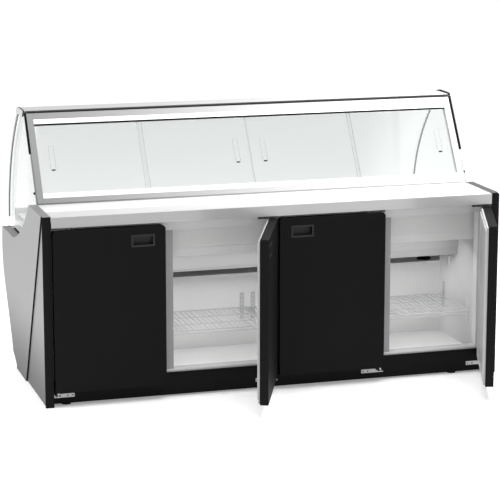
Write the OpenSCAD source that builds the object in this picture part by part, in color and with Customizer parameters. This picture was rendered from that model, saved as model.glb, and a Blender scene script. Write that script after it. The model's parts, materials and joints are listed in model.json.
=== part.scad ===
// Refrigerated deli case: a glass display over a two-chamber, four-door cold store.
// +X runs along the case, +Y faces the customer, +Z is up. The floor is at Z = 0.

/* [Case] */
// Overall length over the end panels
case_l = 2214; // [2200:1:2230]
// Depth of an end panel from its rear edge to its nose
case_d = 1076; // [1070:1:1084]
// Height of the flat top of an end panel
panel_h = 885; // [884:1:888]
// Thickness of an end panel
panel_t = 41; // [38:1:42]

/* [Worktop] */
// Height of the worktop
top_h = 883; // [882:1:884]
// Depth of the worktop's rear fascia
fascia_h = 49; // [47:1:49]
// How far the fascia stands behind the end panels
fascia_out = 8; // [6:1:10]

/* [Store doors] */
// Width of one door leaf
door_w = 519; // [515:1:519]
// Height of one door leaf
door_h = 750; // [740:1:750]
// Height of the doors' bottom edge
door_z = 72; // [72:1:76]
// Gap between the two leaves of one chamber
pair_gap = 19; // [18:1:22]
// Thickness of the black pan of a leaf
pan_t = 39; // [36:1:39]
// Angle at which the second door stands open
door_2_open = 68; // [0:1:90]
// Angle at which the fourth door stands open
door_4_open = 70; // [0:1:90]

/* [Glass] */
// Half of the length of the curved front glass
front_glass_x = 1077; // [1074:1:1080]
// Thickness of the curved front glass
front_glass_t = 8; // [6:1:8]
// Thickness of a sliding glass
slide_glass_t = 5; // [4:1:5]
// Overlap of two sliding glasses
slide_lap = 20; // [10:1:30]

/* [Store] */
// Thickness of the insulated walls
wall_t = 50; // [45:1:50]
// Height of the chamber floor
floor_z = 100; // [95:1:100]
// Distance from the rear edge to the chamber's far wall
chamber_d = 500; // [495:1:505]
// Height of the wire shelves
shelf_z = 290; // [240:1:330]

/* [Hidden] */
$fn = 48;

// Colours
silver = [0.73, 0.73, 0.74];
steel = [0.85, 0.85, 0.86];
grey = [0.66, 0.66, 0.67];
mid_grey = [0.50, 0.50, 0.51];
black = [0.11, 0.11, 0.11];
white = [0.93, 0.93, 0.92];
clear = [0.86, 0.91, 0.89, 0.45];
chrome = [0.80, 0.80, 0.82];
copper = [0.72, 0.43, 0.26];

// Depths are measured from the rear edge of the end panels, towards the customer.
inner_x = case_l / 2 - panel_t;
trim_t = 3;
frame_d = 32;
frame_t = 48;
door_face = -20;
liner_t = 8;
gasket_t = 4.5;
gasket_in = 20;
edge_gap = 5;
mid_gap = 2 * (inner_x - edge_gap - 2 * door_w - pair_gap);
door_top = door_z + door_h;
mullion_w = 74;
mullion_x = inner_x - edge_gap - door_w - pair_gap / 2;
fascia_z = top_h - fascia_h;
frame_z = 118;
sill_z = 132;
head_z = 789;
joint_gap = 0.5;

// A leaf turns about a pin this far in from its hinge edge and behind its outer face.
pin_in = 13;
pin_r = 5;
pin_fit = 0.08;
pin_d = door_face + pin_in;
bracket_t = 4;
bracket_l = 96;

// Doors 1 to 4: the X of the left edge, the side of the hinge and the opening at rest.
door_x = [-inner_x + edge_gap, -mid_gap / 2 - door_w, mid_gap / 2, inner_x - edge_gap - door_w];
hinge_side = [-1, 1, 1, 1];
door_open = [0, door_2_open, 0, door_4_open];
door_pin_x = [for (i = [0:3]) hinge_side[i] < 0 ? door_x[i] + pin_in : door_x[i] + door_w - pin_in];

// The row's origin is under the middle of the whole object, open doors included.
function reach(a) = (door_w - pin_in) * sin(a) + pin_in * cos(a) - pin_d;
y0 = (max(reach(door_2_open), reach(door_4_open), -door_face) - case_d) / 2;

// The sliding-glass frame leans towards the customer from its foot.
lean_d = 316;
lean_z = 890;
lean = 32.4;
lean_h = 458;
upright_w = 30;
post_x = inner_x - 2;
slide_x = post_x - upright_w;
track_t = 30;
rear_slot = 8;
front_slot = 18;
track_h = 25;
runner_h = 24;
glass_s0 = 35.4;
glass_s1 = 414;

// Chambers
chamber_x = inner_x - wall_t - 2;
ledge_z = 647;
tub_t = 40;
deck_z = 720;
tray_d = 273.5;
tray_z = 536;
fan_z = 483;
fan_d = 455;
fan_x = 906;
module_x = chamber_x / 2;

// ---- helpers ----

// A box given by its ranges along X, by depth and along Z
module block_at(x, y, z)
    translate([x[0], y[0], z[0]]) cube([x[1] - x[0], y[1] - y[0], z[1] - z[0]]);
module block(x, d, z) translate([0, y0, 0]) block_at(x, d, z);

// An outline in depth and height, stretched along X
module along_x(x, pts)
    translate([x[0], y0, 0]) rotate([90, 0, 90]) linear_extrude(x[1] - x[0]) polygon(pts);

// A closed skin of thickness t around a core
module cored(x, d, z, t = 2) difference() {
    block(x, d, z);
    block([x[0] + t, x[1] - t], [d[0] + t, d[1] - t], [z[0] + t, z[1] - t]);
}

// A rectangular tube along X or along Y
module tube_x(x, d, z, t = 3) difference() {
    block(x, d, z);
    block([x[0] - 1, x[1] + 1], [d[0] + t, d[1] - t], [z[0] + t, z[1] - t]);
}
module tube_y(x, d, z, t = 3) difference() {
    block(x, d, z);
    block([x[0] + t, x[1] - t], [d[0] - 1, d[1] + 1], [z[0] + t, z[1] - t]);
}

// Local axes of the leaning frame: X along the case, Y into the case, Z up the slope
module leaning() translate([0, y0 + lean_d, lean_z]) rotate([-lean, 0, 0]) children();
module slab(x, y, z)
    translate([x[0], y[0], z[0]]) cube([x[1] - x[0], y[1] - y[0], z[1] - z[0]]);

function bezier(a, c, b, n = 12) =
    [for (i = [0:n]) let (t = i / n) (1 - t) * (1 - t) * a + 2 * t * (1 - t) * c + t * t * b];
function shifted(pts, v) = [for (p = pts) p + v];
function reversed(pts) = [for (i = [len(pts) - 1:-1:0]) pts[i]];
// A band of thickness t to the left of a path
function band(pts, t) = concat(pts, reversed([for (i = [0:len(pts) - 1])
    let (a = pts[max(i - 1, 0)], b = pts[min(i + 1, len(pts) - 1)], u = (b - a) / norm(b - a))
    pts[i] + t * [-u[1], u[0]]]));

module mirror_x() {
    children();
    mirror([1, 0, 0]) children();
}

// ---- cabinet ----

toe_d = 738;
nose_z = 378;
lip_z = 648;
lip_d = case_d - 12;
panel_outline = concat(
    [[trim_t, 0], [toe_d, 0], [toe_d - 6, 16], [775, 42], [828, 66], [850, 112]],
    bezier([case_d - 50, nose_z], [case_d - 6, 445], [case_d, 540], 8),
    [[case_d, 575], [lip_d, lip_z]],
    bezier([760, lip_z + 2], [520, 690], [322, panel_h], 12),
    [[trim_t, panel_h]]);
// The rear part of the outer face is set back, behind a line from the rear top corner to the floor.
set_back = 7.5;
step_top_d = 22;
step_foot_d = 489;

module end_panel() color(silver) difference() {
    along_x([inner_x, case_l / 2], panel_outline);
    along_x([case_l / 2 - set_back, case_l / 2 + 1],
        [[-1, -1], [step_foot_d, -1], [step_top_d, panel_h + 1], [-1, panel_h + 1]]);
    // slot for the end of the front glass
    block([inner_x - 1, front_glass_x + 3], [case_d - 36, case_d - 20], [lip_z - 28, lip_z + 4]);
}
module end_panel_left() mirror([1, 0, 0]) end_panel();
module end_panel_right() end_panel();

module rear_trims() color(black) mirror_x()
    translate([inner_x, y0 + trim_t, 0]) rotate([90, 0, 0]) linear_extrude(trim_t) union() {
        square([panel_t, panel_h - 10]);
        square([panel_t - 10, panel_h]);
        translate([panel_t - 10, panel_h - 10]) circle(10);
    }

// The worktop's sheet steps down at its far edge, where the glass frame's sill sits.
step_d = lean_d - 1;
seat_z = top_h - 3;
module worktop() color(steel) {
    sheet = 2;
    lip = 30;
    back = lean_d + 8;
    along_x([-inner_x + 0.5, inner_x - 0.5], [
        [-fascia_out, fascia_z], [-fascia_out + lip, fascia_z],
        [-fascia_out + lip, fascia_z + sheet], [-fascia_out + sheet, fascia_z + sheet],
        [-fascia_out + sheet, top_h - sheet], [step_d - sheet, top_h - sheet],
        [step_d - sheet, seat_z - sheet], [back - sheet, seat_z - sheet],
        [back - sheet, fascia_z], [back, fascia_z], [back, seat_z], [step_d, seat_z],
        [step_d, top_h], [-fascia_out, top_h]]);
}

module plinths() color(black) {
    block([-inner_x + 1, inner_x - 1], [frame_d + 0.5, frame_d + 3], [9, frame_z - joint_gap]);
    block([-inner_x + 1, inner_x - 1], [704, 706.5], [10, floor_z - 42]);
}

front_path = concat([[716, 52], [772, 58], [822, 82], [842, 118]],
    bezier([case_d - 62, nose_z], [case_d - 18, 445], [case_d - 14, 540], 8), [[case_d - 14, 596]]);
module front_panel() color(silver) along_x([-inner_x + 1, inner_x - 1], band(front_path, 2));

module front_rail() color(mid_grey) difference() {
    block([-inner_x + 1, inner_x - 1], [case_d - 64, case_d - 12], [597, lip_z - 2]);
    block([-inner_x, inner_x], [case_d - 34, case_d - 22], [lip_z - 22, lip_z]);
}

foot_x = [-1000, 902];
module foot(x, d) translate([x, y0 + d, 0]) {
    cylinder(h = 8, r = 22);
    translate([0, 0, 8 - 0.01]) cylinder(h = 12.5, r = 7);
}
module levelling_feet() color(black) {
    for (x = foot_x) {
        foot(x, 60);
        foot(x, 680);
    }
    foot(0, 380);
    foot(0, 680);
}

beam = 38;
module base_frame() color(mid_grey) {
    z = [20.5, 20.5 + beam];
    for (d = [50, 661]) tube_x([-inner_x + 4, inner_x - 4], [d, d + beam], z);
    for (x = [-1040, -beam / 2, 1040 - beam])
        tube_y([x, x + beam], [50 + beam + joint_gap, 661 - joint_gap], z);
}

module cabinet_floor() color(white)
    cored([-inner_x + 1, inner_x - 1], [frame_d + 13, chamber_d + wall_t], [floor_z - 40, floor_z]);

module cabinet_back() color(white)
    cored([-inner_x + 1, inner_x - 1], [chamber_d, chamber_d + wall_t],
        [floor_z + joint_gap, ledge_z - joint_gap]);

module chamber_sides() color(white) mirror_x()
    cored([chamber_x, inner_x - 1], [frame_d + frame_t + joint_gap, chamber_d - joint_gap],
        [floor_z + joint_gap, ledge_z - joint_gap]);

module door_frame() color(grey) {
    d = [frame_d, frame_d + frame_t];
    z = [sill_z + joint_gap / 2, head_z - joint_gap / 2];
    full = [-inner_x + 1, inner_x - 1];
    cored(full, d, [frame_z, sill_z], 1.5);
    cored(full, d, [head_z, fascia_z - joint_gap], 1.5);
    mirror_x() cored([chamber_x, inner_x - 1], d, z, 1.5);
    cored([-wall_t, wall_t], [frame_d + 1, frame_d + frame_t], z, 1.5);
}

module mullions() {
    z = [sill_z + joint_gap, head_z - joint_gap];
    color(mid_grey) mirror_x()
        cored([mullion_x - mullion_w / 2, mullion_x + mullion_w / 2], [frame_d, frame_d + 30], z, 1.5);
    color(steel) block([-2, 2], [frame_d - 20, frame_d + 0.7], z);
}

// ---- display ----

module display_tub() color(white) {
    x = [-inner_x + 16, inner_x - 16];
    cored(x, [100, 1030], [ledge_z, ledge_z + tub_t]);
    cored(x, [100, 100 + tub_t], [ledge_z + tub_t + joint_gap, fascia_z - joint_gap]);
    cored(x, [1000, 1030], [ledge_z + tub_t + joint_gap, ledge_z + tub_t + 60]);
}

deck_w = 520;
module display_deck() color(steel)
    for (i = [-2:1]) {
        x = [i * deck_w + 2, (i + 1) * deck_w - 2];
        block(x, [150, 990], [deck_z, deck_z + 1.5]);
        for (d = [150, 988.5]) block(x, [d, d + 1.5], [ledge_z + tub_t + joint_gap, deck_z + 0.5]);
    }

// ---- refrigeration, two sets side by side, each the mirror image of the other ----

coil_l = 700;
tray_w = 119.5;
tray_h = 46;
tray_t = 1.5;
tray_x = module_x - 1;
coil_d = tray_d + 20;
coil_z = tray_z + 35;
// The lower edge of the covers falls evenly towards the left end of the case.
cover_z = 555.3;
cover_fall = 0.0228;
cover_top = ledge_z - 1;
function module_at(m) = m == 0 ? -module_x : module_x;
module at_modules() mirror_x() translate([module_x, 0, 0]) children();

module evaporators() color(chrome) at_modules() {
    for (i = [0:34])
        block([i * 20 - coil_l / 2, i * 20 - coil_l / 2 + 0.8], [coil_d, coil_d + 90],
            [coil_z, coil_z + 60]);
    for (d = [22, 68], h = [18, 42])
        translate([-coil_l / 2 - 12, y0 + coil_d + d, coil_z + h]) rotate([0, 90, 0])
            cylinder(h = coil_l + 24, r = 5);
    // end plates hang the coil from the underside of the tub
    for (x = [-coil_l / 2 - 7, coil_l / 2 + 5])
        block([x, x + 2], [coil_d + 10, coil_d + 80], [coil_z, ledge_z - joint_gap]);
}

module evaporator_covers() color(white) for (m = [0, 1]) {
    x = [module_at(m) - tray_x, module_at(m) + tray_x];
    translate([0, y0 + tray_d - joint_gap, 0]) rotate([90, 0, 0]) linear_extrude(3) polygon([
        [x[0], cover_z + cover_fall * x[0]], [x[1], cover_z + cover_fall * x[1]],
        [x[1], cover_top], [x[0], cover_top]]);
}

module drip_trays() color(mid_grey) at_modules() {
    far = tray_d + tray_w;
    z = [tray_z, tray_z + tray_h];
    block([-tray_x, tray_x], [tray_d, far], [tray_z, tray_z + tray_t]);
    for (d = [tray_d, far - tray_t]) block([-tray_x, tray_x], [d, d + tray_t], z);
    for (x = [-tray_x, tray_x - tray_t]) block([x, x + tray_t], [tray_d, far], z);
}

fan_r = 34;
plate_lip = 7;
plate_front = 393;
// The outer end of each plate is cut back towards its front edge.
plate_cut = 46;
module fan_plates() color(mid_grey) mirror_x() {
    x = [module_x - tray_x, module_x + tray_x];
    difference() {
        translate([0, y0, fan_z - 3]) linear_extrude(3) polygon([
            [x[0], plate_front], [x[1] - plate_cut, plate_front],
            [x[1], chamber_d - 1], [x[0], chamber_d - 1]]);
        translate([fan_x, y0 + fan_d, fan_z - 4]) cylinder(h = 5, r = fan_r + 3);
    }
    block([x[0], x[1] - plate_cut], [plate_front, plate_front + 3], [fan_z - plate_lip, fan_z]);
    // motor under the ring, held by a crossbar
    block([fan_x - fan_r - 8, fan_x + fan_r + 8], [fan_d - 5, fan_d + 5], [fan_z - 10, fan_z - 2.5]);
    translate([fan_x, y0 + fan_d, fan_z - 20]) cylinder(h = 14, r = 16);
    translate([fan_x, y0 + fan_d, fan_z - 7]) cylinder(h = 15, r = 3);
}

module fan_rotor(x) color(black) translate([x, y0 + fan_d, fan_z + 1]) {
    difference() {
        cylinder(h = 10, r = 13);
        translate([0, 0, -1]) cylinder(h = 9.6, r = 3 + pin_fit);
    }
    for (a = [0:72:288]) rotate([0, 0, a]) translate([11, -1, 5]) rotate([28, 0, 0])
        translate([0, -9, -0.8]) cube([fan_r - 12, 18, 1.6]);
}
module fan_left() fan_rotor(-fan_x);
module fan_right() fan_rotor(fan_x);

drain_r = 16;
drain_x = 825;
drain_d = 600;
drain_z = 12;
spigot_l = 44;
module drain_pipe() color(black) translate([drain_x, y0 + drain_d, drain_z]) difference() {
    union() {
        cylinder(h = ledge_z - drain_z - joint_gap, r = drain_r);
        translate([0, 0, spigot_l]) cylinder(h = 6, r = drain_r + 5);
    }
    translate([0, 0, -1]) cylinder(h = ledge_z, r = drain_r - 2.5);
}

// A liquid line and a suction line rise behind the store and pass into its back wall.
pipe_x = -860;
pipe_z = 30;
line_r = [5, 9];
module refrigerant_lines() color(copper) for (i = [0, 1]) {
    h = 590 - i * 30;
    translate([pipe_x + i * 60, y0 + 620, 0]) difference() {
        union() {
            translate([0, 0, pipe_z]) cylinder(h = h - pipe_z, r = line_r[i]);
            translate([0, 0, h]) sphere(line_r[i]);
            translate([0, 0, h]) rotate([90, 0, 0]) cylinder(h = 69.5, r = line_r[i]);
        }
        translate([0, 0, pipe_z - 1]) cylinder(h = h - pipe_z + 1, r = line_r[i] - 1);
    }
}

module temperature_probes() color(white) mirror_x() translate([chamber_x - 4.2, y0 + 375, 464]) {
    cylinder(h = 34, r = 4);
    translate([-4, -6, 34 - 0.01]) cube([8, 12, 6]);
}

// ---- glass superstructure ----

glass_d = case_d - 24;
glass_path = concat([[glass_d, lip_z - 20]],
    bezier([glass_d, 700], [glass_d - 16, 1015], [745, 1256], 18));
module front_glass() color(clear)
    along_x([-front_glass_x, front_glass_x], band(glass_path, front_glass_t));

module side_glasses() color(clear) mirror_x() {
    inside = shifted(bezier([glass_d, 700], [glass_d - 16, 1015], [745, 1250], 12), [-11, -5]);
    along_x([inner_x - 8.5, inner_x - 2.5], concat([[640, 672], [glass_d - 20, 672]],
        inside, [[600, 1245], [364, 890], [400, 858]]));
}

canopy_z = 1290;
canopy_x = 1073;
canopy_core = [[598, 1262], [739, 1260.5], [747, 1264], [730, 1279], [690, 1287], [592, 1287],
    [580, 1285.5]];
module canopy() color(silver) difference() {
    along_x([-canopy_x, canopy_x], concat(
        [[590, 1259], [740, 1257], [752, 1262]],
        bezier([758, 1266], [735, 1287], [690, canopy_z], 6),
        [[590, canopy_z], [572, 1288]]));
    along_x([-canopy_x + 3, canopy_x - 3], canopy_core);
}

module canopy_trim() color(black) {
    leaning() slab([-post_x, post_x], [0, 14], [lean_h + 0.5, lean_h + 7]);
    mirror_x() along_x([canopy_x + 0.3, canopy_x + 6], concat(
        [[592, 1258], [742, 1256.5], [756, 1261]],
        bezier([760, 1267], [736, 1289], [690, canopy_z + 1], 6),
        [[590, canopy_z + 1], [568, 1287]]));
}

// Wedge that carries the foot of the leaning frame on the worktop
module sill(x) along_x(x, [[lean_d + 0.2, seat_z + 0.2], [lean_d + 8, seat_z + 0.2],
    [lean_d + 10, lean_z - 2], [lean_d + 2, lean_z + 1.5]]);

module frame_uprights() color(grey) {
    leaning() mirror_x() slab([slide_x, post_x], [0, track_t], [0, lean_h]);
    mirror_x() sill([slide_x, post_x]);
}

module lower_track() color(grey) {
    leaning() slab([-slide_x + 0.5, slide_x - 0.5], [0, track_t], [0, track_h]);
    sill([-slide_x + 0.5, slide_x - 0.5]);
}

module upper_track() color(grey) leaning()
    slab([-slide_x + 0.5, slide_x - 0.5], [0, track_t], [lean_h - 31, lean_h]);

// White plastic profiles with two grooves each, in which the glasses slide
module runner(z0, groove) difference() {
    slab([-slide_x + 0.5, slide_x - 0.5], [0.5, track_t - 0.5], [z0, z0 + runner_h]);
    for (y = [rear_slot, front_slot])
        slab([-slide_x, slide_x], [y - 1, y + slide_glass_t + 1], groove);
}
module runners() color(white) leaning() {
    runner(track_h + 0.5, [35, 60]);
    runner(lean_h - 31.5 - runner_h, [390, 420]);
}

module brush_seal() color(black) leaning()
    slab([-slide_x + 1, slide_x - 1], [0.5, 6], [395, lean_h - 32 - runner_h]);

// Sliding glasses: 1 and 4 run in the rear grooves, 2 and 3 in the front ones.
pane_x = [
    [-slide_x + 2, -slide_x / 2], [-slide_x / 2 - slide_lap, -2],
    [2, slide_x / 2 + slide_lap], [slide_x / 2, slide_x - 2]];
pull_x = [-968, -68, 68, 968];
pull_w = 24;
pull_h = 122;
pull_s = 226;
module glass_door(i) color(clear) leaning() {
    y = i == 0 || i == 3 ? rear_slot : front_slot;
    slab(pane_x[i], [y, y + slide_glass_t], [glass_s0, glass_s1]);
    slab([pull_x[i] - pull_w / 2, pull_x[i] + pull_w / 2], [y - 3, y + 1],
        [pull_s - pull_h / 2, pull_s + pull_h / 2]);
}
module glass_door_1() glass_door(0);
module glass_door_2() glass_door(1);
module glass_door_3() glass_door(2);
module glass_door_4() glass_door(3);

module led_light() color(white) block([-1030, 1030], [640, 668], [1238, 1257.5]);

// ---- shelves ----

shelf_w = 497;
shelf_n = 20;
wire = 4;
module shelf(x0) {
    d = [100, chamber_d - 12];
    for (y = [d[0], 290, d[1] - 6]) block([x0, x0 + shelf_w], [y, y + 6], [shelf_z - 6, shelf_z]);
    for (i = [0:shelf_n - 1]) {
        x = x0 + i * (shelf_w - wire) / (shelf_n - 1);
        block([x, x + wire], d, [shelf_z - 1, shelf_z + 3]);
    }
}
shelf_gap = 8;
// Four shelves stand side by side, so the middle pair meet at the centre of the case.
shelf_mid = shelf_w + shelf_gap;
module wire_shelves() color(chrome) for (s = [-1, 1]) {
    mid = s * shelf_mid;
    shelf(mid - shelf_w - shelf_gap / 2);
    shelf(mid + shelf_gap / 2);
}

// Slotted uprights, with a clip under each shelf end: two on each side wall, two on the back wall
rail_z = [230, 362];
rail_t = 4;
module shelf_rail() {
    difference() {
        block_at([-10, 10], [0, rail_t], rail_z);
        for (h = [245:20:345]) block_at([-3, 3], [-1, rail_t + 1], [h - 5, h + 5]);
    }
    block_at([-5, 5], [rail_t - 0.5, 14], [shelf_z - 16, shelf_z - 6.5]);
}
module shelf_rails() color(chrome) {
    mirror_x() {
        for (d = [130, 440]) translate([chamber_x - 0.5, y0 + d, 0]) rotate([0, 0, 90]) shelf_rail();
        translate([28, y0 + chamber_d - 0.5, 0]) rotate([0, 0, 180]) shelf_rail();
    }
    // bars under the meeting ends of the shelves, from the mullions and the middle post to the back wall
    for (x = [-shelf_mid, 0, shelf_mid])
        block([x - 10, x + 10], [frame_d + (x == 0 ? frame_t : 30) + joint_gap, chamber_d - joint_gap],
            [shelf_z - 18, shelf_z - 6.5]);
}

// ---- doors ----

corner_r = 15;
handle_w = 110;
handle_h = 57;
handle_edge = 50;
handle_z = door_top - 64;
// The pull sits near the free edge of its leaf.
handle_x = [for (i = [0:3]) hinge_side[i] < 0
    ? door_x[i] + door_w - handle_edge - handle_w / 2
    : door_x[i] + handle_edge + 4 + handle_w / 2];

// Turns a leaf from closed to the angle at which it stands at rest
module swung(i) translate([door_pin_x[i], y0 + pin_d, 0])
    rotate([0, 0, hinge_side[i] * door_open[i]])
        translate([-door_pin_x[i], -y0 - pin_d, 0]) children();

module rounded_top(x, z, r, d) translate([0, y0 + d[1], 0]) rotate([90, 0, 0])
    linear_extrude(d[1] - d[0]) union() {
        translate([x[0], z[0]]) square([x[1] - x[0], z[1] - z[0] - r]);
        translate([x[0] + r, z[0]]) square([x[1] - x[0] - 2 * r, z[1] - z[0]]);
        for (c = [x[0] + r, x[1] - r]) translate([c, z[1] - r]) circle(r);
    }

module door_shell(i) color(black) swung(i) {
    x = [door_x[i], door_x[i] + door_w];
    skin = 1.5;
    difference() {
        rounded_top(x, [door_z, door_top], corner_r, [door_face, door_face + pan_t]);
        rounded_top([x[0] + skin, x[1] - skin], [door_z + skin, door_top - skin],
            corner_r - skin, [door_face + skin, door_face + pan_t + 1]);
        block([handle_x[i] - handle_w / 2 + 5, handle_x[i] + handle_w / 2 - 5],
            [door_face - 1, door_face + 10],
            [handle_z - handle_h / 2 + 5, handle_z + handle_h / 2 - 5]);
        hinge_holes(i);
    }
    // hinge bushes inside the pan
    for (z = [[door_z + 0.4, door_z + 20], [door_top - 20, door_top - 0.4]])
        difference() {
            translate([door_pin_x[i], y0 + pin_d, z[0]]) cylinder(h = z[1] - z[0], r = 9);
            hinge_holes(i);
        }
}
module hinge_holes(i) {
    for (z = [door_z - 1, door_top - 17])
        translate([door_pin_x[i], y0 + pin_d, z]) cylinder(h = 18, r = pin_r + pin_fit);
}

module door_liner(i) color(white) swung(i) difference() {
    block([door_x[i] + 6, door_x[i] + door_w - 6], [door_face + pan_t, door_face + pan_t + liner_t],
        [door_z + 6, door_top - 6]);
    block([door_x[i] + 8, door_x[i] + door_w - 8],
        [door_face + pan_t - 1, door_face + pan_t + liner_t - 2], [door_z + 8, door_top - 8]);
}

module door_gasket(i) color(grey) swung(i) {
    d = door_face + pan_t + liner_t;
    w = 12;
    difference() {
        block([door_x[i] + gasket_in, door_x[i] + door_w - gasket_in], [d, d + gasket_t],
            [door_z + gasket_in, door_top - gasket_in]);
        block([door_x[i] + gasket_in + w, door_x[i] + door_w - gasket_in - w],
            [d - 1, d + gasket_t + 1], [door_z + gasket_in + w, door_top - gasket_in - w]);
    }
}

module door_handle(i) color([0.2, 0.2, 0.2]) swung(i) translate([handle_x[i], 0, handle_z]) {
    w = handle_w / 2;
    h = handle_h / 2;
    difference() {
        union() {
            block([-w, w], [door_face - 1, door_face], [-h, h]);
            block([-w + 5.5, w - 5.5], [door_face - 0.5, door_face + 26], [-h + 5.5, h - 5.5]);
        }
        block([-w + 9, w - 9], [door_face - 2, door_face + 23], [-h + 9, h - 9]);
    }
}

module door_1_shell() door_shell(0);
module door_1_liner() door_liner(0);
module door_1_gasket() door_gasket(0);
module door_1_handle() door_handle(0);
module door_2_shell() door_shell(1);
module door_2_liner() door_liner(1);
module door_2_gasket() door_gasket(1);
module door_2_handle() door_handle(1);
module door_3_shell() door_shell(2);
module door_3_liner() door_liner(2);
module door_3_gasket() door_gasket(2);
module door_3_handle() door_handle(2);
module door_4_shell() door_shell(3);
module door_4_liner() door_liner(3);
module door_4_gasket() door_gasket(3);
module door_4_handle() door_handle(3);

// ---- hinge brackets: an upright plate with two screw holes, a tongue and a pin ----

module bracket(i, plate_d, plate_z, tongue_z, pin_z) {
    x = door_pin_x[i];
    s = -hinge_side[i];
    edge = x - s * (pin_in + 1);
    far = edge + s * bracket_l;
    along = [min(edge, far), max(edge, far)];
    difference() {
        block(along, [plate_d, plate_d + bracket_t], plate_z);
        for (k = [64, 88]) translate([edge + s * k, y0 + plate_d - 1, (plate_z[0] + plate_z[1]) / 2])
            rotate([-90, 0, 0]) cylinder(h = bracket_t + 2, r = 3.5);
    }
    block([x - 11, x + 11], [min(pin_d - 11, plate_d), max(plate_d + bracket_t, pin_d + 11)], tongue_z);
    translate([x, y0 + pin_d, pin_z[0]]) cylinder(h = pin_z[1] - pin_z[0], r = pin_r);
    // the top ones hang from the lip of the fascia by a flange
    if (plate_d < 0) block(along, [plate_d, 20], [plate_z[1] - 2, plate_z[1]]);
}

module hinge_brackets_bottom() color(chrome) for (i = [0:3])
    bracket(i, frame_d - bracket_t, [door_z - 34, door_z - 16], [door_z - 20, door_z - 16],
        [door_z - 17, door_z + 14]);

module hinge_brackets_top() color(mid_grey) for (i = [0:3])
    bracket(i, -fascia_out + 1, [door_top + 1.5, fascia_z - joint_gap], [door_top + 4, door_top + 8],
        [door_top - 14, door_top + 7]);

end_panel_left();
end_panel_right();
rear_trims();
worktop();
plinths();
front_panel();
front_rail();
levelling_feet();
base_frame();
cabinet_floor();
cabinet_back();
chamber_sides();
door_frame();
mullions();
display_tub();
display_deck();
evaporators();
evaporator_covers();
drip_trays();
fan_plates();
fan_left();
fan_right();
drain_pipe();
refrigerant_lines();
temperature_probes();
front_glass();
side_glasses();
canopy();
canopy_trim();
frame_uprights();
lower_track();
upper_track();
runners();
brush_seal();
led_light();
glass_door_1();
glass_door_2();
glass_door_3();
glass_door_4();
wire_shelves();
shelf_rails();
hinge_brackets_top();
hinge_brackets_bottom();
door_1_shell();
door_1_liner();
door_1_gasket();
door_1_handle();
door_2_shell();
door_2_liner();
door_2_gasket();
door_2_handle();
door_3_shell();
door_3_liner();
door_3_gasket();
door_3_handle();
door_4_shell();
door_4_liner();
door_4_gasket();
door_4_handle();
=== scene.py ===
import json
import math

import bmesh
import bpy
from mathutils import Matrix, Vector

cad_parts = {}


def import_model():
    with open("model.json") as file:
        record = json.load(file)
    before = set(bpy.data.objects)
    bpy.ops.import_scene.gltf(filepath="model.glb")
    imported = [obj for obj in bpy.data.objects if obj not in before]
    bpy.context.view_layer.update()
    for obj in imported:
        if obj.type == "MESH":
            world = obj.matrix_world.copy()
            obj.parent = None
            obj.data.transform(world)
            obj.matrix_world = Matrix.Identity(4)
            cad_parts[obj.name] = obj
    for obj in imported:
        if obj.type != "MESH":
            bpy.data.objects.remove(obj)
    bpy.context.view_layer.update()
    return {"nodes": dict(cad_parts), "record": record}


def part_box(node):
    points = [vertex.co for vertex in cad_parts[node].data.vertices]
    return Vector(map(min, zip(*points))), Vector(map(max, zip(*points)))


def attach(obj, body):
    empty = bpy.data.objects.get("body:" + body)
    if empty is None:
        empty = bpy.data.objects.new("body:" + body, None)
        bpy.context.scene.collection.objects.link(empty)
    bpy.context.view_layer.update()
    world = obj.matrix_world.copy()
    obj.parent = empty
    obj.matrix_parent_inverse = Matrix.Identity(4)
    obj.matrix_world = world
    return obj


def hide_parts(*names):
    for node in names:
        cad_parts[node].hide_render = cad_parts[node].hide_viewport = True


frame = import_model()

MM = 0.001
X, Y, Z = 0, 1, 2
SCENE = bpy.context.scene
NODES = frame["nodes"]
SIDES = ((-1, "left"), (1, "right"))

# The rear edge of the end panels: depths are measured from here, towards the customer.
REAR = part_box("rear_trims")[0][Y]

# Edges sharper than these get a bevel, or split the smooth shading
BEVEL_ANGLE = math.radians(35)
SPLIT_ANGLE = math.radians(40)


# ---- mesh helpers ----

def finish_mesh(name, bm, material, body, bevel=0.0, smooth=True):
    """Makes one piece from a bmesh, gives it its material, and sets it on its body."""
    bmesh.ops.recalc_face_normals(bm, faces=bm.faces)
    mesh = bpy.data.meshes.new(name)
    bm.to_mesh(mesh)
    bm.free()
    piece = bpy.data.objects.new(name, mesh)
    SCENE.collection.objects.link(piece)
    mesh.materials.append(material)
    if bevel:
        soften(piece, bevel)
    if smooth:
        for face in mesh.polygons:
            face.use_smooth = True
        if not bevel:
            edge = piece.modifiers.new("edges", "EDGE_SPLIT")
            edge.split_angle = SPLIT_ANGLE
    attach(piece, body)
    return piece


def soften(piece, width):
    bevel = piece.modifiers.new("soft edges", "BEVEL")
    bevel.width = width
    bevel.segments = 2
    bevel.limit_method = "ANGLE"
    bevel.angle_limit = BEVEL_ANGLE


def add_box(bm, lo, hi, matrix=Matrix()):
    spans = list(zip(lo, hi))
    corners = [Vector((x, y, z)) for x in spans[X] for y in spans[Y] for z in spans[Z]]
    v = [bm.verts.new(matrix @ corner) for corner in corners]
    for quad in ((0, 1, 3, 2), (4, 6, 7, 5), (0, 4, 5, 1), (2, 3, 7, 6), (0, 2, 6, 4), (1, 5, 7, 3)):
        bm.faces.new([v[i] for i in quad])


def add_ring(bm, centre, side, up, radius, count):
    turns = [2 * math.pi * k / count for k in range(count)]
    return [bm.verts.new(centre + radius * (math.cos(t) * side + math.sin(t) * up)) for t in turns]


def join_rings(bm, a, b):
    for k in range(len(a)):
        after = (k + 1) % len(a)
        bm.faces.new((a[k], a[after], b[after], b[k]))


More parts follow.
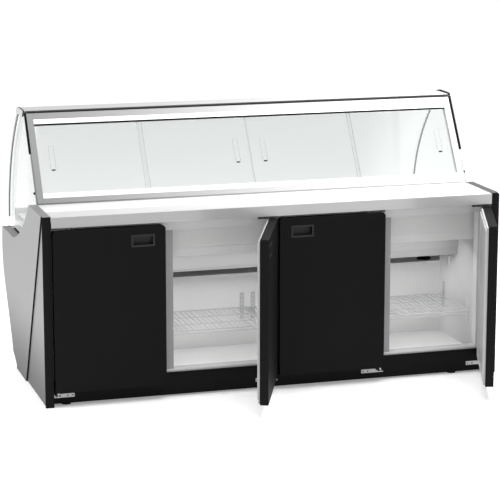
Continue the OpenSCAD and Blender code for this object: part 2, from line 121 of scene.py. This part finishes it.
def add_tube(bm, points, radius, sides=10, closed=False):
    """A round wire through the points. Its rings are carried along without twisting."""
    points = [Vector(p) for p in points]
    count = len(points)
    side = None
    rings = []
    for i, p in enumerate(points):
        before = points[i - 1] if i or closed else p
        after = points[(i + 1) % count] if i < count - 1 or closed else p
        along = (after - before).normalized()
        if side is None:
            side = along.orthogonal().normalized()
        side = (side - along * side.dot(along)).normalized()
        rings.append(add_ring(bm, p, side, along.cross(side), radius, sides))
    for i in range(count if closed else count - 1):
        join_rings(bm, rings[i], rings[(i + 1) % count])
    if not closed:
        bm.faces.new(rings[0])
        bm.faces.new(rings[-1])


def add_disc(bm, centre, axis, radius, height, sides=24, dome=0.0):
    """A low round head: its rim, and a slightly raised middle."""
    axis = Vector(axis).normalized()
    side = axis.orthogonal().normalized()
    up = axis.cross(side)
    middle_share = 0.55
    levels = ((radius, 0.0), (radius, height), (radius * middle_share, height + dome))
    rings = [add_ring(bm, Vector(centre) + axis * h, side, up, r, sides) for r, h in levels]
    for a, b in zip(rings, rings[1:]):
        join_rings(bm, a, b)
    bm.faces.new(rings[0])
    bm.faces.new(rings[-1])


# ---- material helpers ----

def zone_factor(nodes, links, coords, zones):
    """The product of factors that run evenly between two places.

    A zone is (output, axis, start, end, before, after). Its output is "Object", "Normal" or "Generated".
    """
    product = None
    for output, axis, start, end, before, after in zones:
        split = nodes.new("ShaderNodeSeparateXYZ")
        links.new(coords.outputs[output], split.inputs["Vector"])
        ramp = nodes.new("ShaderNodeMapRange")
        ramp.interpolation_type = "SMOOTHSTEP"
        ramp.inputs["From Min"].default_value = start
        ramp.inputs["From Max"].default_value = end
        ramp.inputs["To Min"].default_value = before
        ramp.inputs["To Max"].default_value = after
        links.new(split.outputs[axis], ramp.inputs["Value"])
        if product is None:
            product = ramp.outputs["Result"]
        else:
            times = nodes.new("ShaderNodeMath")
            times.operation = "MULTIPLY"
            links.new(product, times.inputs[0])
            links.new(ramp.outputs["Result"], times.inputs[1])
            product = times.outputs["Value"]
    return product


def material(name, colour, rough, metal=0.0, grain=60, bump=0.0, vary=0.03, coat=0.0, specular=0.5, zones=()):
    """A Principled surface whose colour, roughness and height vary by a noise in object space.

    grain is the noise's cycles per metre, or one number per axis, so brushed metal has long streaks.
    """
    rough_vary, smoothest = 0.05, 0.02
    m = bpy.data.materials.new(name)
    m.use_nodes = True
    nodes, links = m.node_tree.nodes, m.node_tree.links
    shader = nodes["Principled BSDF"]
    shader.inputs["Metallic"].default_value = metal
    shader.inputs["Coat Weight"].default_value = coat
    shader.inputs["Specular IOR Level"].default_value = specular
    coords = nodes.new("ShaderNodeTexCoord")
    stretch = nodes.new("ShaderNodeMapping")
    stretch.inputs["Scale"].default_value = grain if isinstance(grain, tuple) else (grain, grain, grain)
    noise = nodes.new("ShaderNodeTexNoise")
    noise.inputs["Scale"].default_value = 1.0
    noise.inputs["Detail"].default_value = 4.0
    links.new(coords.outputs["Object"], stretch.inputs["Vector"])
    links.new(stretch.outputs["Vector"], noise.inputs["Vector"])

    tint = nodes.new("ShaderNodeMapRange")
    tint.inputs["To Min"].default_value = 1 - vary
    tint.inputs["To Max"].default_value = 1 + vary
    links.new(noise.outputs["Fac"], tint.inputs["Value"])
    scale = nodes.new("ShaderNodeVectorMath")
    scale.operation = "SCALE"
    scale.inputs[0].default_value = colour
    links.new(tint.outputs["Result"], scale.inputs["Scale"])
    if zones:
        both = nodes.new("ShaderNodeMath")
        both.operation = "MULTIPLY"
        links.new(tint.outputs["Result"], both.inputs[0])
        links.new(zone_factor(nodes, links, coords, zones), both.inputs[1])
        links.new(both.outputs["Value"], scale.inputs["Scale"])
    links.new(scale.outputs["Vector"], shader.inputs["Base Color"])

    dull = nodes.new("ShaderNodeMapRange")
    dull.inputs["To Min"].default_value = max(rough - rough_vary, smoothest)
    dull.inputs["To Max"].default_value = min(rough + rough_vary, 1.0)
    links.new(noise.outputs["Fac"], dull.inputs["Value"])
    links.new(dull.outputs["Result"], shader.inputs["Roughness"])
    if bump:
        height = nodes.new("ShaderNodeBump")
        height.inputs["Strength"].default_value = bump
        height.inputs["Distance"].default_value = 0.4 * MM
        links.new(noise.outputs["Fac"], height.inputs["Height"])
        links.new(height.outputs["Normal"], shader.inputs["Normal"])
    return m


def glass(name, colour, zones=()):
    """Thin clear glass with a faint green tint. Light passes it straight, so panes cast pale shadows."""
    polish = 0.01
    shine_facing, shine_steep = 0.03, 0.65
    m = bpy.data.materials.new(name)
    m.use_nodes = True
    nodes, links = m.node_tree.nodes, m.node_tree.links
    nodes.remove(nodes["Principled BSDF"])
    clear = nodes.new("ShaderNodeBsdfTransparent")
    clear.inputs["Color"].default_value = (*colour, 1)
    if zones:
        shade = nodes.new("ShaderNodeVectorMath")
        shade.operation = "SCALE"
        shade.inputs[0].default_value = colour
        coords = nodes.new("ShaderNodeTexCoord")
        links.new(zone_factor(nodes, links, coords, zones), shade.inputs["Scale"])
        links.new(shade.outputs["Vector"], clear.inputs["Color"])
    shine = nodes.new("ShaderNodeBsdfGlossy")
    shine.inputs["Roughness"].default_value = polish
    # facing is the same from both sides of a face, so the inner side never turns into a mirror
    facing = nodes.new("ShaderNodeLayerWeight")
    facing.inputs["Blend"].default_value = 0.5
    steep = nodes.new("ShaderNodeMath")
    steep.operation = "POWER"
    steep.inputs[1].default_value = 5.0
    amount = nodes.new("ShaderNodeMapRange")
    amount.inputs["To Min"].default_value = shine_facing
    amount.inputs["To Max"].default_value = shine_steep
    blend = nodes.new("ShaderNodeMixShader")
    links.new(facing.outputs["Facing"], steep.inputs[0])
    links.new(steep.outputs["Value"], amount.inputs["Value"])
    links.new(amount.outputs["Result"], blend.inputs["Fac"])
    links.new(clear.outputs["BSDF"], blend.inputs[1])
    links.new(shine.outputs["BSDF"], blend.inputs[2])
    links.new(blend.outputs["Shader"], nodes["Material Output"].inputs["Surface"])
    return m


def grey(level, blue=0.0):
    """A grey with a little more or less blue."""
    return (level, level, level + blue)


COOL, WARM = 0.005, -0.005


# ---- materials: moulded panels, paint and metal ----

# Painted shade: the end panels darken towards the floor, and their top faces are darker than their sides,
# most of all on the right panel
PAINTED_FOOT_SHADE = ("Object", Z, 0.02, 0.42, 0.36, 1.0)
SILVER_PANEL_PAINTED_SHADE = material("silver moulded panel", grey(0.26, COOL), 0.50, grain=900, bump=0.10, specular=0.35,
                  zones=[PAINTED_FOOT_SHADE, ("Normal", Z, 0.85, 0.95, 1.0, 0.58)])
SILVER_PANEL_RIGHT_PAINTED_SHADE = material("silver moulded panel, right", grey(0.26, COOL), 0.50, grain=900, bump=0.10,
                        specular=0.25, zones=[PAINTED_FOOT_SHADE, ("Normal", Z, 0.85, 0.95, 1.0, 0.19)])
PAINT = material("silver paint", grey(0.52, COOL), 0.38, metal=0.2, grain=500, bump=0.05)

# Painted shade: the worktop is darker on its fascia, towards its left end and along its near strip
STEEL_PAINTED_SHADE = material("brushed stainless", grey(0.86, COOL), 0.24, metal=0.3, grain=(6, 900, 900), bump=0.04,
                 zones=[("Normal", Y, -0.95, -0.4, 0.72, 1.0), ("Object", X, -1.3, 0.9, 0.84, 1.12),
                        ("Object", Y, REAR + 0.125, REAR + 0.15, 0.62, 1.0)])
# Painted light: the glass frame and the canopy are brighter at their right ends. Painted shade: the canopy is
# darker on top
FRAME_SILVER_PAINTED_LIGHT = material("silver frame", grey(0.60, COOL), 0.38, metal=0.2, grain=500, bump=0.05,
                        zones=[("Object", X, -1.4, 0.8, 0.38, 1.0)])
CANOPY_SILVER_PAINTED_LIGHT_AND_SHADE = material("silver canopy", grey(0.60, COOL), 0.38, metal=0.2, grain=500, bump=0.05,
                         zones=[("Object", X, -1.1, 1.1, 0.74, 1.0), ("Normal", Z, 0.5, 0.85, 1.0, 0.72)])
# Painted light and shade: the door frame is a little brighter at its right jamb, and darker along its foot
FRAME_GREY_PAINTED_LIGHT_AND_SHADE = material("grey painted frame", grey(0.52, COOL), 0.45, grain=300, bump=0.05,
                      zones=[("Object", X, 0.99, 1.0, 1.0, 1.15), ("Object", Z, 0.120, 0.130, 0.45, 1.0)])
MID_GREY = material("dark grey metal", grey(0.24, COOL), 0.45, grain=300, bump=0.05)
TRAY_GREY = material("grey drip tray", grey(0.28, COOL), 0.45, grain=300, bump=0.05)
PLATE_GREY = material("grey fan plate", grey(0.72, COOL), 0.45, grain=300, bump=0.05)
BLACK_PAINT = material("satin black paint", grey(0.0065), 0.55, grain=1400, bump=0.10, specular=0.05)
ALUMINIUM = material("satin aluminium", grey(0.40, COOL), 0.36, metal=0.3, grain=(8, 700, 700), bump=0.05)
GALVANISED = material("galvanised steel", (0.45, 0.46, 0.47), 0.42, metal=0.8, grain=25, vary=0.12)
SHELF_WIRE = material("bright wire", grey(0.68, COOL), 0.42, metal=0.25, grain=200)
RAIL_SILVER = material("silver rail", grey(0.66, COOL), 0.42, metal=0.1, grain=500, bump=0.05)
ZINC = material("zinc plate", grey(0.34), 0.32, metal=0.6, grain=(400, 40, 400), bump=0.05)
# Painted shade: the top hinge brackets are the same zinc, darkened for the shade under the fascia
ZINC_PAINTED_SHADE = material("zinc plate, painted shade", grey(0.05, 0.002), 0.38, metal=0.4, grain=(400, 40, 400), bump=0.05)
COPPER = material("copper tube", (0.78, 0.40, 0.24), 0.25, metal=1.0, grain=(120, 120, 20), vary=0.08)


# ---- materials: plastic, rubber and liners ----

BLACK = material("black plastic", grey(0.007), 0.5, grain=900, bump=0.10, specular=0.06)
# The canopy's trim is black, but grey on the faces that look along the case
CANOPY_TRIM = material("black trim, grey caps", grey(0.012), 0.5, grain=900, bump=0.05, specular=0.15,
                       zones=[("Normal", X, -0.95, -0.8, 40.0, 1.0), ("Normal", X, 0.8, 0.95, 1.0, 40.0)])
HANDLE = material("handle plastic", grey(0.016, 0.0005), 0.45, grain=1600, bump=0.15, specular=0.2)
WHITE_PLASTIC = material("white plastic", grey(0.90), 0.30, grain=500, bump=0.04)
RUBBER = material("grey gasket", grey(0.50), 0.65, grain=700, bump=0.10)
SEAL_GREY = material("grey seal", grey(0.22, COOL), 0.6, grain=700, bump=0.10, specular=0.2)

LINER = material("white liner", grey(0.88, WARM), 0.40, grain=40, bump=0.08, vary=0.015)
# Painted shade: the tub's white liner is darker on the faces that look to the rear
LINER_PAINTED_SHADE = material("white liner, shaded front", grey(0.88, WARM), 0.40, grain=40, bump=0.08, vary=0.015,
                       zones=[("Normal", Y, -0.95, -0.5, 0.66, 1.0)])
# Painted shade: the evaporator covers are white, drawn dark grey for the shade they sit in
COVER_WHITE_PAINTED_SHADE = material("white cover, shaded", grey(0.31), 0.40, grain=40, bump=0.08, vary=0.015)
# Painted light and shade: the store's white side walls are grey, darker high up, close to the lamp, and
# brighter towards the back wall
WALL_PAINTED_LIGHT_AND_SHADE = material("white side wall", grey(0.62), 0.45, grain=40, bump=0.08, vary=0.015,
                      zones=[("Object", Z, 0.40, 0.62, 1.0, 0.70),
                             ("Object", Y, REAR + 0.10, REAR + 0.46, 0.88, 1.5)])
DOOR_LINER = material("door liner", grey(0.36), 0.45, grain=40, bump=0.08, vary=0.015)


# ---- materials: glass ----

GLASS = glass("clear glass", (0.982, 0.990, 0.988))
# Painted sheen: the curved glass lets more light through at both its ends, so it looks brighter there
FRONT_GLASS_PAINTED_SHEEN = glass("curved glass", (0.87, 0.877, 0.875),
                    zones=[("Object", X, 0.7, 1.05, 1.0, 1.1), ("Object", X, -1.0, -0.94, 1.13, 1.0)])
GLASS_EDGE = material("glass edge", (0.30, 0.34, 0.33), 0.15, grain=80, coat=0.4)


# ---- what each CAD node looks like ----

SLOT_MATERIAL = {
    "silver_panel": PAINT, "moulded_panel": SILVER_PANEL_PAINTED_SHADE, "steel_top": STEEL_PAINTED_SHADE, "frame_grey": FRAME_GREY_PAINTED_LIGHT_AND_SHADE,
    "mid_grey": MID_GREY, "black_paint": BLACK_PAINT, "black_plastic": BLACK, "handle_plastic": HANDLE,
    "white_liner": LINER, "aluminium": ALUMINIUM, "galvanised": GALVANISED, "glass_clear": GLASS,
    "chrome_wire": SHELF_WIRE, "bracket_steel": ZINC, "gasket_grey": RUBBER, "copper": COPPER,
    "white_plastic": WHITE_PLASTIC,
}

# Nodes whose look differs a little from the rest of their slot
NODE_MATERIAL = {
    "hinge_brackets_top": ZINC_PAINTED_SHADE, "shelf_rails": RAIL_SILVER, "drip_trays": TRAY_GREY,
    "fan_plates": PLATE_GREY, "canopy": CANOPY_SILVER_PAINTED_LIGHT_AND_SHADE, "canopy_trim": CANOPY_TRIM,
    "front_glass": FRONT_GLASS_PAINTED_SHEEN, "end_panel_right": SILVER_PANEL_RIGHT_PAINTED_SHADE, "frame_uprights": FRAME_SILVER_PAINTED_LIGHT,
    "lower_track": FRAME_SILVER_PAINTED_LIGHT, "upper_track": FRAME_SILVER_PAINTED_LIGHT, "display_tub": LINER_PAINTED_SHADE,
    "evaporator_covers": COVER_WHITE_PAINTED_SHADE, "chamber_sides": WALL_PAINTED_LIGHT_AND_SHADE,
}
for door in (1, 2, 3, 4):
    NODE_MATERIAL[f"door_{door}_liner"] = DOOR_LINER

# Width of the softened edges, by slot. The other slots stay crisp.
EDGE = {
    "moulded_panel": 1.5 * MM, "black_paint": 0.7 * MM, "handle_plastic": 1.0 * MM, "frame_grey": 0.8 * MM,
    "aluminium": 0.5 * MM, "steel_top": 0.6 * MM, "bracket_steel": 0.5 * MM, "black_plastic": 0.5 * MM,
}


def dress_nodes():
    """Gives every CAD node its material, and softens the edges that catch light."""
    for part in frame["record"]["subparts"]:
        node = NODES[part["node"]]
        slot = part["material_slot"]
        node.data.materials.clear()
        node.data.materials.append(NODE_MATERIAL.get(part["node"], SLOT_MATERIAL[slot]))
        # the evaporators' many thin fins stay crisp
        if slot in EDGE and part["node"] != "evaporators":
            soften(node, EDGE[slot])


# ---- pieces of the store ----

def wire_shelf(name, x, y, z):
    """A shelf of round wires: a rim, a low wire under its front, two cross wires and the long wires."""
    rim, wire = 3.0 * MM, 1.9 * MM
    cross = rim * 0.8
    low_front, long_lift = 14 * MM, 0.3 * MM
    spaces = 20
    bm = bmesh.new()
    add_tube(bm, [(x[0], y[0], z), (x[1], y[0], z), (x[1], y[1], z), (x[0], y[1], z)], rim, closed=True)
    add_tube(bm, [(x[0], y[0], z - low_front), (x[1], y[0], z - low_front)], cross)
    for share in (0.33, 0.67):
        middle = y[0] + share * (y[1] - y[0])
        add_tube(bm, [(x[0], middle, z - wire), (x[1], middle, z - wire)], cross)
    for k in range(1, spaces):
        place = x[0] + k * (x[1] - x[0]) / spaces
        add_tube(bm, [(place, y[0], z + long_lift), (place, y[1], z + long_lift)], wire)
    return finish_mesh(name, bm, SHELF_WIRE, "cabinet")


def wire_shelves():
    """Two shelves in each half of the store, in place of the plain bars."""
    width, gap, rim = 497 * MM, 8 * MM, 3.0 * MM
    lo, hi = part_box("wire_shelves")
    inner = min(abs(lo[X]), abs(hi[X]))
    y = (lo[Y] + rim, hi[Y] - rim)
    for side, word in SIDES:
        middle = side * (inner - width - gap / 2)
        for start, order in ((middle - width - gap / 2, "first"), (middle + gap / 2, "second")):
            x = (start + rim, start + width - rim)
            wire_shelf(f"shelf_{word}_{order}", x, y, hi[Z] - rim)
    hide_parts("wire_shelves")


def fan_guards():
    """Concentric wire rings with four spokes over each fan, and a black disc under its blades: painted shade
    in the fan's well.
    """
    ring_radii, steps = (12 * MM, 24 * MM, 36 * MM), 40
    wire, wire_sides = 0.8 * MM, 8
    above_fan = 2 * MM
    foot_radius, foot_drop = 37 * MM, 9 * MM
    well_shade_radius, well_shade_t, below_fan = 36.5 * MM, 1 * MM, 2.5 * MM
    for _, word in SIDES:
        lo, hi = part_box(f"fan_{word}")
        x, y, top = (lo[X] + hi[X]) / 2, (lo[Y] + hi[Y]) / 2, hi[Z] + above_fan
        bm = bmesh.new()
        for radius in ring_radii:
            turns = [2 * math.pi * k / steps for k in range(steps)]
            circle = [(x + radius * math.cos(t), y + radius * math.sin(t), top) for t in turns]
            add_tube(bm, circle, wire, wire_sides, closed=True)
        for k in range(4):
            t = math.pi / 4 + k * math.pi / 2
            foot = Vector((x + foot_radius * math.cos(t), y + foot_radius * math.sin(t), top))
            add_tube(bm, [(x, y, top), foot, foot - Vector((0, 0, foot_drop))], wire, wire_sides)
        finish_mesh(f"fan_guard_{word}", bm, BLACK, "cabinet")
        # painted shade: a black disc stands for the dark well under the blades
        bm = bmesh.new()
        add_disc(bm, (x, y, lo[Z] - below_fan), (0, 0, 1), well_shade_radius, well_shade_t, sides=steps)
        finish_mesh(f"fan_well_shade_{word}", bm, BLACK, "cabinet")


def hinge_screws():
    """A round-headed screw in each hole of the hinge plates."""
    holes = (64 * MM, 88 * MM)
    inset = 14 * MM
    sink = 1 * MM
    head_radius, head_height, dome = 3.2 * MM, 1.2 * MM, 0.9 * MM
    for level, plate_z, plate_d in (("bottom", 47 * MM, 28 * MM), ("top", 828.5 * MM, -7 * MM)):
        bm = bmesh.new()
        for joint in frame["record"]["behaviour"]["joints"]:
            if not joint["child"].startswith("door_"):
                continue
            away = -joint["axis"][Z]
            edge = joint["pos_m"][X] - away * inset
            for hole in holes:
                centre = (edge + away * hole, REAR + plate_d + sink, plate_z)
                add_disc(bm, centre, (0, -1, 0), head_radius, head_height, dome=dome)
        finish_mesh(f"hinge_screws_{level}", bm, BLACK, "cabinet")


def centre_strip():
    """A bright strip closes the gap between doors 2 and 3."""
    half_w, proud, short = 2.6 * MM, 0.6 * MM, 1 * MM
    lo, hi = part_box("mullions")
    bm = bmesh.new()
    add_box(bm, (-half_w, lo[Y] - proud, lo[Z] + short), (half_w, lo[Y] + proud, hi[Z] - short))
    finish_mesh("centre_strip", bm, PAINT, "cabinet", bevel=0.3 * MM)


def panel_edges():
    """A black strip covers the edge of each end panel's raised part, where its rear part is set back."""
    outer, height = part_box("end_panel_right")[1][X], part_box("end_panel_right")[1][Z]
    set_back, step_top, step_foot = 7.5 * MM, 22 * MM, 489 * MM
    lift, sink, strip_w = 0.2 * MM, 0.1 * MM, 0.6 * MM
    top_gap, foot_gap = 1 * MM, 2 * MM
    top, foot = Vector((0, REAR + step_top, height)), Vector((0, REAR + step_foot, 0))
    along = (foot - top).normalized()
    ends = (top + along * top_gap, foot - along * foot_gap)
    # the strip stands on the rear side of the edge
    behind = Vector((0, -along.z, along.y)) * -strip_w
    if behind.y > 0:
        behind = -behind
    outline = (ends[0], ends[0] + behind, ends[1] + behind, ends[1])
    for side, word in SIDES:
        bm = bmesh.new()
        rings = []
        for x in (side * (outer - set_back + lift), side * (outer - sink)):
            rings.append([bm.verts.new(Vector((x, 0, 0)) + p) for p in outline])
        bm.faces.new(rings[0])
        bm.faces.new(rings[1])
        join_rings(bm, rings[0], rings[1])
        finish_mesh(f"panel_edge_{word}", bm, BLACK, "cabinet", smooth=False)


# ---- pieces of the glass case ----

# The glass frame leans towards the customer from its foot. Along its slope, Z is up and Y goes inwards.
LEAN = math.radians(32.4)
LEANING = Matrix.Translation((0, REAR + 316 * MM, 890 * MM)) @ Matrix.Rotation(-LEAN, 4, "X")


def add_slabs(bm, outlines, middle, thick):
    """Closed slabs over flat outlines. Each grows along X away from the middle, and has a wall round it."""
    corners, steps = {}, []
    for outline in outlines:
        # corners at one place share a name, to a hundredth of a millimetre
        names = [tuple(round(c, 5) for c in p) for p in outline]
        for name, p in zip(names, outline):
            if name not in corners:
                grow = Vector((math.copysign(thick, p.x - middle), 0, 0))
                corners[name] = [bm.verts.new(p), bm.verts.new(p + grow)]
        for level in (0, 1):
            bm.faces.new([corners[name][level] for name in names])
        steps += zip(names, names[1:] + names[:1])
    for a, b in steps:
        if (b, a) not in steps:
            bm.faces.new((corners[a][0], corners[b][0], corners[b][1], corners[a][1]))


def cut_edges(node, body):
    """Where the cut glass looks dark: thin slabs over a pane's faces that look along X.

    A slab on the inner side of a pull grows into the pull, because it too grows away from the middle.
    """
    near, proud = 0.05 * MM, 0.15 * MM
    end_facing = 0.95
    source = NODES[node].data
    middle = sum(v.co.x for v in source.vertices) / len(source.vertices)
    outlines = []
    for face in source.polygons:
        facing = face.normal.x
        if abs(facing) > end_facing:
            out = Vector((math.copysign(near, facing), 0, 0))
            outlines.append([source.vertices[i].co + out for i in face.vertices])
    bm = bmesh.new()
    add_slabs(bm, outlines, middle, proud - near)
    finish_mesh(f"{node}_cut_edges", bm, GLASS_EDGE, body, smooth=False)


def glass_edges():
    cut_edges("front_glass", "cabinet")
    for pane in (1, 2, 3, 4):
        cut_edges(f"glass_door_{pane}", f"glass_{pane}")


def pull_marks():
    """A small dark fixing at the foot of each clear pull, and a thin frame round it."""
    centres = (-968 * MM, -68 * MM, 68 * MM, 968 * MM)
    half_w, half_h, middle = 12 * MM, 61 * MM, 226 * MM
    outer_pane, inner_pane, pull_proud = 8 * MM, 18 * MM, 3 * MM
    rim, rim_sides = 0.8 * MM, 8
    foot_half_w, foot_back, foot_front = 8 * MM, 1.5 * MM, 2 * MM
    foot_below, foot_above = 1 * MM, 5 * MM
    low, high = middle - half_h, middle + half_h
    for pane, x in enumerate(centres, 1):
        face = (outer_pane if pane in (1, 4) else inner_pane) - pull_proud
        outline = [(x - half_w, low), (x + half_w, low), (x + half_w, high), (x - half_w, high)]
        bm = bmesh.new()
        add_tube(bm, [LEANING @ Vector((px, face, pz)) for px, pz in outline], rim, rim_sides, closed=True)
        finish_mesh(f"pull_rim_{pane}", bm, GLASS_EDGE, f"glass_{pane}")
        bm = bmesh.new()
        add_box(bm, (x - foot_half_w, face - foot_back, low - foot_below),
                (x + foot_half_w, face + foot_front, low + foot_above), LEANING)
        finish_mesh(f"pull_foot_{pane}", bm, BLACK, f"glass_{pane}", bevel=0.5 * MM)


def side_profiles():
    """Beside each upright: a black profile up high, a thin grey one below it, and one small knob."""
    clearance = 0.4 * MM
    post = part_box("frame_uprights")[1][X] + clearance
    top, foot, gap = 464 * MM, 2 * MM, 1 * MM
    near, far = 2 * MM, 14 * MM
    lower_w = 4 * MM
    knob_out, knob_d, knob_height = 4 * MM, 8 * MM, 55 * MM
    knob_radius, knob_t, knob_dome = 6 * MM, 6 * MM, 1.5 * MM
    splits = (255 * MM, 176 * MM)
    upper_widths = (9 * MM, 15 * MM)
    for (side, word), split, upper_w in zip(SIDES, splits, upper_widths):
        pieces = (("upper", split, top, upper_w, BLACK, "black_plastic"),
                  ("lower", foot, split - gap, lower_w, SEAL_GREY, "gasket_grey"))
        for level, low, high, wide, look, slot in pieces:
            ends = sorted((side * post, side * (post + wide)))
            bm = bmesh.new()
            add_box(bm, (ends[0], near, low), (ends[1], far, high), LEANING)
            finish_mesh(f"side_profile_{level}_{word}", bm, look, "cabinet", bevel=1 * MM)
        bm = bmesh.new()
        centre = LEANING @ Vector((side * (post + knob_out), knob_d, knob_height))
        add_disc(bm, centre, (side, 0, 0), knob_radius, knob_t, dome=knob_dome)
        finish_mesh(f"side_knob_{word}", bm, BLACK, "cabinet")


def corner_seals():
    """A grey seal closes each corner between the curved glass and the side glass."""
    radius, inset, behind_glass = 4.5 * MM, 5 * MM, 13 * MM
    lowest, highest = 655 * MM, 1250 * MM
    end_depth, same_level = 0.1 * MM, 12 * MM
    vertices = NODES["front_glass"].data.vertices
    edge_x = max(v.co.x for v in vertices)
    # the outer line of the pane's end, from the lip up to the canopy
    ends = {(round(v.co.y, 4), round(v.co.z, 4)) for v in vertices if v.co.x > edge_x - end_depth}
    outline = []
    for level in sorted({z for _, z in ends}):
        near = [y for y, z in ends if abs(z - level) < same_level]
        if lowest < level < highest:
            outline.append((max(near), level))
    for side, word in SIDES:
        bm = bmesh.new()
        x = side * (edge_x - inset)
        add_tube(bm, [(x, y - behind_glass, z) for y, z in outline], radius)
        finish_mesh(f"corner_seal_{word}", bm, SEAL_GREY, "cabinet")


def canopy_rims():
    """A raised rim runs over the top of each end of the canopy. The right one is thicker."""
    outline = ((572, 1287), (600, 1289), (650, 1289.5), (690, 1289), (715, 1285), (738, 1277), (752, 1268))
    radii = (4 * MM, 6 * MM)
    lifts = (0, 3 * MM)
    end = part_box("canopy_trim")[1][X]
    for (side, word), radius, lift in zip(SIDES, radii, lifts):
        x = side * (end - radius)
        bm = bmesh.new()
        add_tube(bm, [(x, REAR + d * MM, z * MM + lift) for d, z in outline], radius)
        finish_mesh(f"canopy_rim_{word}", bm, BLACK, "cabinet")


# ---- camera, stage and lights ----

def camera():
    """Its place, tilt and lens were fitted together, so they only work as a set."""
    tilt_down, turn_right = 11.793, 16.705
    data = bpy.data.cameras.new("camera")
    data.lens = 144.22
    data.sensor_width = 36
    data.clip_end = 60
    cam = bpy.data.objects.new("camera", data)
    cam.location = (-2.7396, -8.9703, 2.5710)
    cam.rotation_euler = (math.radians(90 - tilt_down), 0, math.radians(-turn_right))
    SCENE.collection.objects.link(cam)
    SCENE.camera = cam


def area_light(name, place, aim, size, power, deep=None):
    """A round lamp, or a rectangle that is deep along its second side. A rectangle isn't seen."""
    data = bpy.data.lights.new(name, "AREA")
    data.shape = "RECTANGLE" if deep else "DISK"
    data.size = size
    if deep:
        data.size_y = deep
    data.energy = power
    lamp = bpy.data.objects.new(name, data)
    lamp.location = place
    lamp.rotation_euler = (Vector(aim) - Vector(place)).to_track_quat("-Z", "Y").to_euler()
    lamp.visible_camera = not deep
    # mirrored in the glass, a lamp would be a hard disc
    lamp.visible_glossy = False
    SCENE.collection.objects.link(lamp)


def lamps():
    area_light("key", (-4.5, 0.5, 5.0), (0, 0, 0.6), 3.0, 130)
    area_light("top", (0, -2.5, 5.5), (0, -1.0, 0), 4.0, 170)
    area_light("fill", (1.5, -6.5, 1.6), (0.2, 0, 0.4), 3.5, 30)
    area_light("right end", (1.55, -0.02, 2.9), (1.1, 0, 1.0), 0.8, 95)
    area_light("store", (0, REAR + 0.14, 0.62), (0, REAR + 0.27, 0.1), 1.9, 3.0, deep=0.1)


def floor():
    """A wide pale floor. It fills the picture's background, and its faint glow keeps that white."""
    half, thick = 40, 0.02
    bm = bmesh.new()
    add_box(bm, (-half, -half, -thick), (half, half, 0))
    mesh = bpy.data.meshes.new("floor")
    bm.to_mesh(mesh)
    bm.free()
    ground = bpy.data.objects.new("floor", mesh)
    pale = material("pale floor", grey(0.93), 0.7, vary=0.005)
    shader = pale.node_tree.nodes["Principled BSDF"]
    shader.inputs["Emission Color"].default_value = (1, 1, 1, 1)
    shader.inputs["Emission Strength"].default_value = 0.2
    mesh.materials.append(pale)
    SCENE.collection.objects.link(ground)


def world():
    """A white room that gets darker behind the camera."""
    room = bpy.data.worlds.new("studio")
    room.use_nodes = True
    nodes, links = room.node_tree.nodes, room.node_tree.links
    coords = nodes.new("ShaderNodeTexCoord")
    strength = zone_factor(nodes, links, coords, [("Generated", Y, -0.85, 0.15, 0.42, 1.04)])
    links.new(strength, nodes["Background"].inputs["Strength"])
    nodes["Background"].inputs["Color"].default_value = (1, 1, 1, 1)
    SCENE.world = room


dress_nodes()
wire_shelves()
fan_guards()
hinge_screws()
glass_edges()
panel_edges()
pull_marks()
side_profiles()
corner_seals()
canopy_rims()
centre_strip()

camera()
floor()
world()
SCENE.view_settings.view_transform = "Standard"
lamps()
